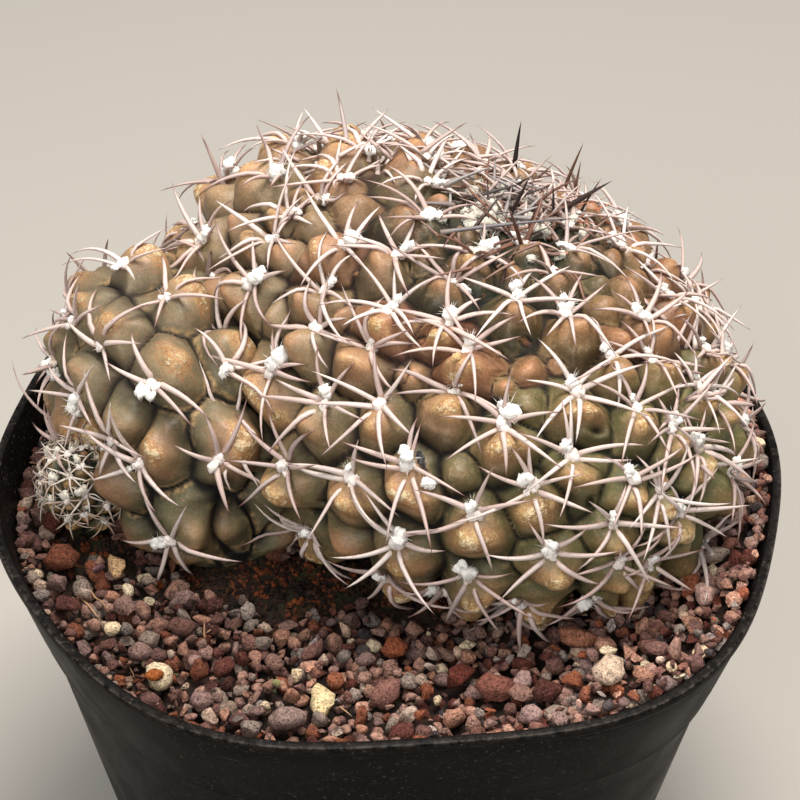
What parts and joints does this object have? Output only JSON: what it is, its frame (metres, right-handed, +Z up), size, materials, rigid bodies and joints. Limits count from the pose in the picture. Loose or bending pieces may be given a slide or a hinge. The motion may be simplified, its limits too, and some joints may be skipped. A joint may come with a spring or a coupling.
{
  "type": "potted gymnocalycium marsoneri",
  "caption": "Old ribbed globular cactus with a side head and a pup, in gritty soil in a square-round plastic pot.",
  "frame": {"origin": "centre of the pot's underside, on the surface it stands on", "axes": "+Z up; -Y is the front, towards the viewer of the picture; +X is to the right"},
  "size_m": [0.1558, 0.1584, 0.1717],
  "materials": {
    "pot": "black moulded plastic, dusty",
    "soil": "red-brown and mauve lava grit",
    "main_head": "olive to brown waxy skin with pale spines",
    "side_head": "olive waxy skin with pale spines",
    "pup": "young green skin under dense pale wool and spines"
  },
  "bodies": {
    "root": {"pot": "pot", "soil": "soil", "main_head": "main_head", "side_head": "side_head", "pup": "pup"}
  },
  "joints": []
}
